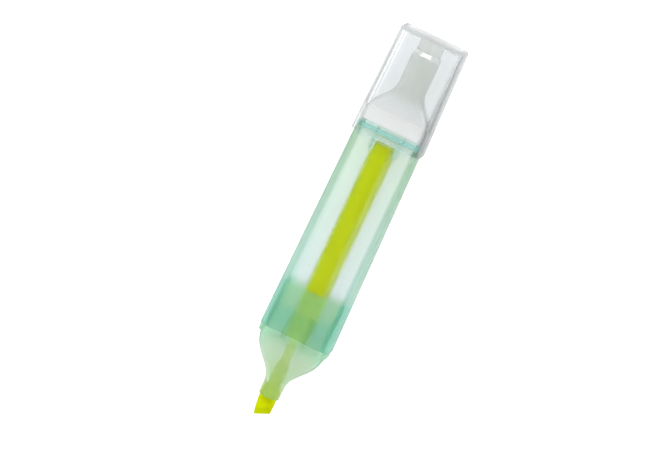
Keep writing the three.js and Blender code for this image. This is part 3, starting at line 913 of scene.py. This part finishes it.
# ---------- End plug ----------
def make_plug():
    flange_x = REAR_X + FACE_GAP
    skirt_x = CORE_HIGH.x + FACE_GAP
    flange = fillet(flange_x, barrel_outer(flange_x), INNER_EDGE, -1)[::-1]
    flange += fillet(PLUG_END_X, barrel_outer(PLUG_END_X), PLUG_EDGE, 1)
    flange += [(PLUG_END_X, inset(barrel_outer(PLUG_END_X), PLUG_END_RING))]
    plug = from_stations("plug_moulding", flange)
    inner_x = flange_x + PLUG_RIM_ROOT

    def rim_inner(x):
        return inset(skirt_outer(x), PLUG_WALL)

    rim = fillet(skirt_x, skirt_outer(skirt_x), INNER_EDGE, -1)[::-1]
    rim += [(inner_x, skirt_outer(flange_x)), (inner_x, rim_inner(flange_x))]
    rim += hole_fillet(skirt_x, rim_inner(skirt_x), INNER_EDGE, -1)[::-1]
    combine(plug, from_stations("rim", rim, loop=True), "UNION")
    # Two tabs, cut from a tube, hold the rod's end, and a bar across the rim stops it.
    tab_inner = FILM_RADIUS + NIB_CLEARANCE
    tab_x = PLUG_LOW.x
    tube = [(tab_x, circle(tab_inner + PLUG_WALL)), (inner_x, circle(tab_inner + PLUG_WALL))]
    tube += [(inner_x, circle(tab_inner)), (tab_x, circle(tab_inner))]
    tabs = from_stations("tabs", tube, loop=True)
    reach, half = BARREL_HIGH.y, PLUG_TAB_HALF_WIDTH
    band = block("band", tab_x - 1, inner_x + 1, -reach, reach, -half, half)
    combine(tabs, band, "INTERSECT")
    combine(plug, tabs, "UNION")
    bar_end = skirt_outer(skirt_x)[0] / 2 - PLUG_WALL / 2
    bar = block("bar", skirt_x, inner_x, -bar_end, bar_end, -PLUG_WALL / 2, PLUG_WALL / 2)
    combine(plug, bar, "UNION")
    finish_surface(plug)
    install(plug, "pen", "end_plug", PLUG_PLASTIC)


# ---------- Cap ----------
def make_cap():
    step_x = MOUTH_X + CAP_STEP
    ceiling_x = CAP_END_X - CAP_CEILING

    def mouth_inner(x):
        return inset(cap_outer(x), CAP_MOUTH_WALL)

    def wall_inner(x):
        return inset(cap_outer(x), CAP_WALL)

    centre = [(CAP_END_X, inset(CAP_END, by)) for by in CAP_END_RINGS]
    # The mark of the mould's gate is a shallow round dimple in the middle of the end.
    gate = [(CAP_END_X, circle(GATE_RADII[0]))]
    gate += [(CAP_END_X - GATE_DEPTH, circle(radius)) for radius in GATE_RADII[1:]]
    outer = hole_fillet(MOUTH_X, mouth_inner(MOUTH_X), LINER_EDGE, -1)
    outer += fillet(MOUTH_X, cap_outer(MOUTH_X), CAP_MOUTH_EDGE, -1)[::-1]
    outer += along(MOUTH_X + RIM_GAP, CAP_END_X - 1.2, 20, cap_outer)
    rounded = []
    for k in range(CAP_EDGE_STEPS + 1):
        turn = math.pi / 2 * k / CAP_EDGE_STEPS
        x = CAP_END_X - CAP_EDGE_RADIUS * (1 - math.sin(turn))
        rounded.append((x, inset(cap_outer(x), CAP_EDGE_RADIUS * (1 - math.cos(turn)))))
    outer += rounded + centre + gate
    inner = [(ceiling_x, inset(wall_inner(ceiling_x), CEILING_RING))]
    inner += fillet(ceiling_x, wall_inner(ceiling_x), CAP_CEILING_EDGE, 1)[::-1]
    inner += along(ceiling_x - RIM_GAP, step_x, 18, wall_inner)
    inner += along(step_x - LEAST_FLAT, MOUTH_X + EDGE_GAP, 8, mouth_inner)

    # The rings run down the inside to the mouth and up the outside to the end; both are closed.
    cap = from_stations("cap_shell_clear", inner + outer)
    finish_surface(cap)
    install(cap, "cap", "cap_shell", CAP_PLASTIC)


def make_liner():
    step_x = MOUTH_X + CAP_STEP
    flare_end = MOUTH_X + LINER_FLARE_END
    tube_end = MOUTH_X + LINER_TUBE_END
    skirt_end = step_x - FACE_GAP

    def rim_outer(x):
        return inset(cap_outer(x), CAP_MOUTH_WALL + FIT_GAP)

    flare_start = inset(cap_outer(step_x), CAP_WALL + 2 * FIT_GAP)
    handles = [step_x + handle for handle in LINER_FLARE_HANDLES]
    half_width = ease(step_x, flare_start[0] / 2, *handles, LINER_TUBE_RADIUS, flare_end)

    def flare(x):
        share = min(max((x - step_x) / (flare_end - step_x), 0), 1)
        d = lerp(flare_start[1], 2 * LINER_TUBE_RADIUS, share)
        return (2 * half_width(x), d, lerp(flare_start[2], d / 2, math.sqrt(share)))

    def flare_inner(x):
        share = min(max((x - step_x) / (flare_end - step_x), 0), 1)
        return inset(flare(x), lerp(LINER_WALL, LINER_TUBE_RADIUS - LINER_BORE_RADIUS, share))

    outer = fillet(LINER_LOW.x, rim_outer(LINER_LOW.x), LINER_EDGE, -1)[::-1]
    outer += along(LINER_LOW.x + STEP_GAP, skirt_end - STEP_GAP, 4, rim_outer)
    outer += fillet(skirt_end, rim_outer(skirt_end), LINER_EDGE, 1)
    outer += [(skirt_end, inset(flare_start, -0.03))]
    outer += along(skirt_end + 0.03, flare_end, CURVE_STEPS, flare)
    boss_end = LINER_HIGH.x

    def cone(x):
        share = (x - SHOULDER_X) / LINER_SHOULDER
        return circle(lerp(LINER_TUBE_RADIUS, LINER_BOSS_RADIUS, share))

    outer += along(flare_end + 1, SHOULDER_X - 0.1, 6, lambda x: circle(LINER_TUBE_RADIUS))
    outer += along(SHOULDER_X, tube_end, 6, cone)
    outer += along(tube_end + 0.1, boss_end - EDGE_GAP, 3, lambda x: circle(LINER_BOSS_RADIUS))
    outer += fillet(boss_end, circle(LINER_BOSS_RADIUS), INNER_EDGE, 1)
    outer += [(boss_end, circle(LINER_BOSS_RADIUS / 2))]

    def rim_inner(x):
        return inset(rim_outer(x), LINER_WALL)

    inner = [(SHOULDER_X - back, circle(radius)) for back, radius in LINER_BORE_END]
    bore = circle(LINER_BORE_RADIUS)
    inner += along(SHOULDER_X - 2.2, flare_end + STEP_GAP, 6, lambda x: bore)
    inner += along(flare_end, step_x, CURVE_STEPS, flare_inner)
    inner += along(skirt_end - 1, LINER_LOW.x + STEP_GAP, 4, rim_inner)
    inner += hole_fillet(LINER_LOW.x, rim_inner(LINER_LOW.x), INNER_EDGE, -1)[::-1]
    liner = from_stations("cap_liner", inner + outer)
    finish_surface(liner)
    install(liner, "cap", "inner_cap", LINER_PLASTIC)


make_barrel()
make_section()
make_nib()
make_core()
make_film()
make_plug()
make_cap()
make_liner()


# ---------- Floor, light and camera ----------
FLOOR_SIZE = 3.0
FLOOR_GLOW = 0.72
FLOOR_GREYS = (0.49, 0.51)
# The tent's brightness at each height, given as the sine of the elevation, and its strength.
TENT = ((0.0, 0.5), (0.35, 0.7), (0.5, 1.0), (0.82, 1.0), (0.94, 0.1))
TENT_STRENGTH = 1.7
# The softbox: where it is and what it faces, in metres, its width and height, and its power.
KEY_PLACE = (0.48, 0.07, 0.40)
KEY_AIM = (0, 0, 0)
KEY_SIZE = (0.8, 0.2)
KEY_WATTS = 2.6


def make_floor():
    """A white light table: matt, and glowing a little, so that nothing throws a hard shadow."""
    mesh = bpy.data.meshes.new("floor")
    h = FLOOR_SIZE / 2
    mesh.from_pydata([(-h, -h, 0), (h, -h, 0), (h, h, 0), (-h, h, 0)], [], [(0, 1, 2, 3)])
    floor = bpy.data.objects.new("floor", mesh)
    bpy.context.scene.collection.objects.link(floor)
    made = Material("floor_paper")
    grain = made.noise(made.place, 1500, 3.0)
    dark, light = [(grey, grey, grey) for grey in FLOOR_GREYS]
    made.feed("Base Color", made.ramp(grain, [(0.3, dark), (0.7, light)]))
    made.set(Roughness=0.85, Specular_IOR_Level=0.0, Emission_Color=(1, 1, 1, 1))
    made.set(Emission_Strength=FLOOR_GLOW)
    mesh.materials.append(made.data)


def make_world():
    """A white tent whose top is open and dark."""
    world = bpy.data.worlds.new("studio")
    bpy.context.scene.world = world
    world.use_nodes = True
    nodes, links = world.node_tree.nodes, world.node_tree.links
    background = nodes["Background"]
    background.inputs["Strength"].default_value = TENT_STRENGTH
    direction = nodes.new("ShaderNodeTexCoord").outputs["Generated"]
    split = nodes.new("ShaderNodeSeparateXYZ")
    links.new(direction, split.inputs["Vector"])
    height = nodes.new("ShaderNodeValToRGB")
    height.color_ramp.interpolation = "EASE"
    while len(height.color_ramp.elements) < len(TENT):
        height.color_ramp.elements.new(0.5)
    for element, (sine, grey) in zip(height.color_ramp.elements, TENT):
        element.position = sine
        element.color = (grey, grey, grey, 1)
    links.new(split.outputs["Z"], height.inputs["Fac"])
    links.new(height.outputs["Color"], background.inputs["Color"])


def add_softbox(name, place, aim, size, watts):
    light = bpy.data.lights.new(name, "AREA")
    light.shape = "RECTANGLE"
    light.size, light.size_y = size
    light.energy = watts
    lamp = bpy.data.objects.new(name, light)
    lamp.location = place
    lamp.rotation_euler = (Vector(aim) - Vector(place)).to_track_quat("-Z", "Y").to_euler()
    bpy.context.scene.collection.objects.link(lamp)


CAMERA_DISTANCE = 1.0
CAMERA_TURN = math.radians(6.36)  # about the pen's axis, which shows its -Y side
CAMERA_TILT = math.radians(10.32)  # towards the cap, which shows the cap's end
CAMERA_ROLL = math.radians(25.02)  # leans the cap to the right
CAMERA_OFFSET = (-0.00696, -0.00096)  # from the pen's middle to the picture's centre
PICTURE_PIXELS = (645, 465)
FOCAL_PIXELS = 3462
SENSOR_WIDTH = 36.0


def make_camera():
    """The camera starts straight above the pen, with the cap up in the picture."""
    upright = Matrix(((0, -1, 0), (1, 0, 0), (0, 0, 1)))
    turn = Matrix.Rotation(-CAMERA_TURN, 3, "Y")
    tilt = Matrix.Rotation(CAMERA_TILT, 3, "X")
    roll = Matrix.Rotation(-CAMERA_ROLL, 3, "Z")
    to_camera = roll @ tilt @ turn @ upright
    to_world = to_camera.transposed()
    camera = bpy.data.cameras.new("camera")
    camera.sensor_width = SENSOR_WIDTH
    camera.lens = FOCAL_PIXELS / PICTURE_PIXELS[0] * SENSOR_WIDTH
    camera.clip_start = 0.01
    holder = bpy.data.objects.new("camera", camera)
    middle = Vector(((TIP_X + CAP_END_X) / 2, 0, AXIS_Z)) * MM
    place = middle + to_world @ Vector((*CAMERA_OFFSET, CAMERA_DISTANCE))
    holder.matrix_world = Matrix.Translation(place) @ to_world.to_4x4()
    bpy.context.scene.collection.objects.link(holder)
    bpy.context.scene.camera = holder


make_floor()
make_world()
add_softbox("key", KEY_PLACE, KEY_AIM, KEY_SIZE, KEY_WATTS)
make_camera()
bpy.context.scene.view_settings.view_transform = "Standard"
cycles = bpy.context.scene.cycles
cycles.max_bounces = 24
cycles.transmission_bounces = 20
cycles.transparent_max_bounces = 16
cycles.diffuse_bounces = 6
cycles.glossy_bounces = 6
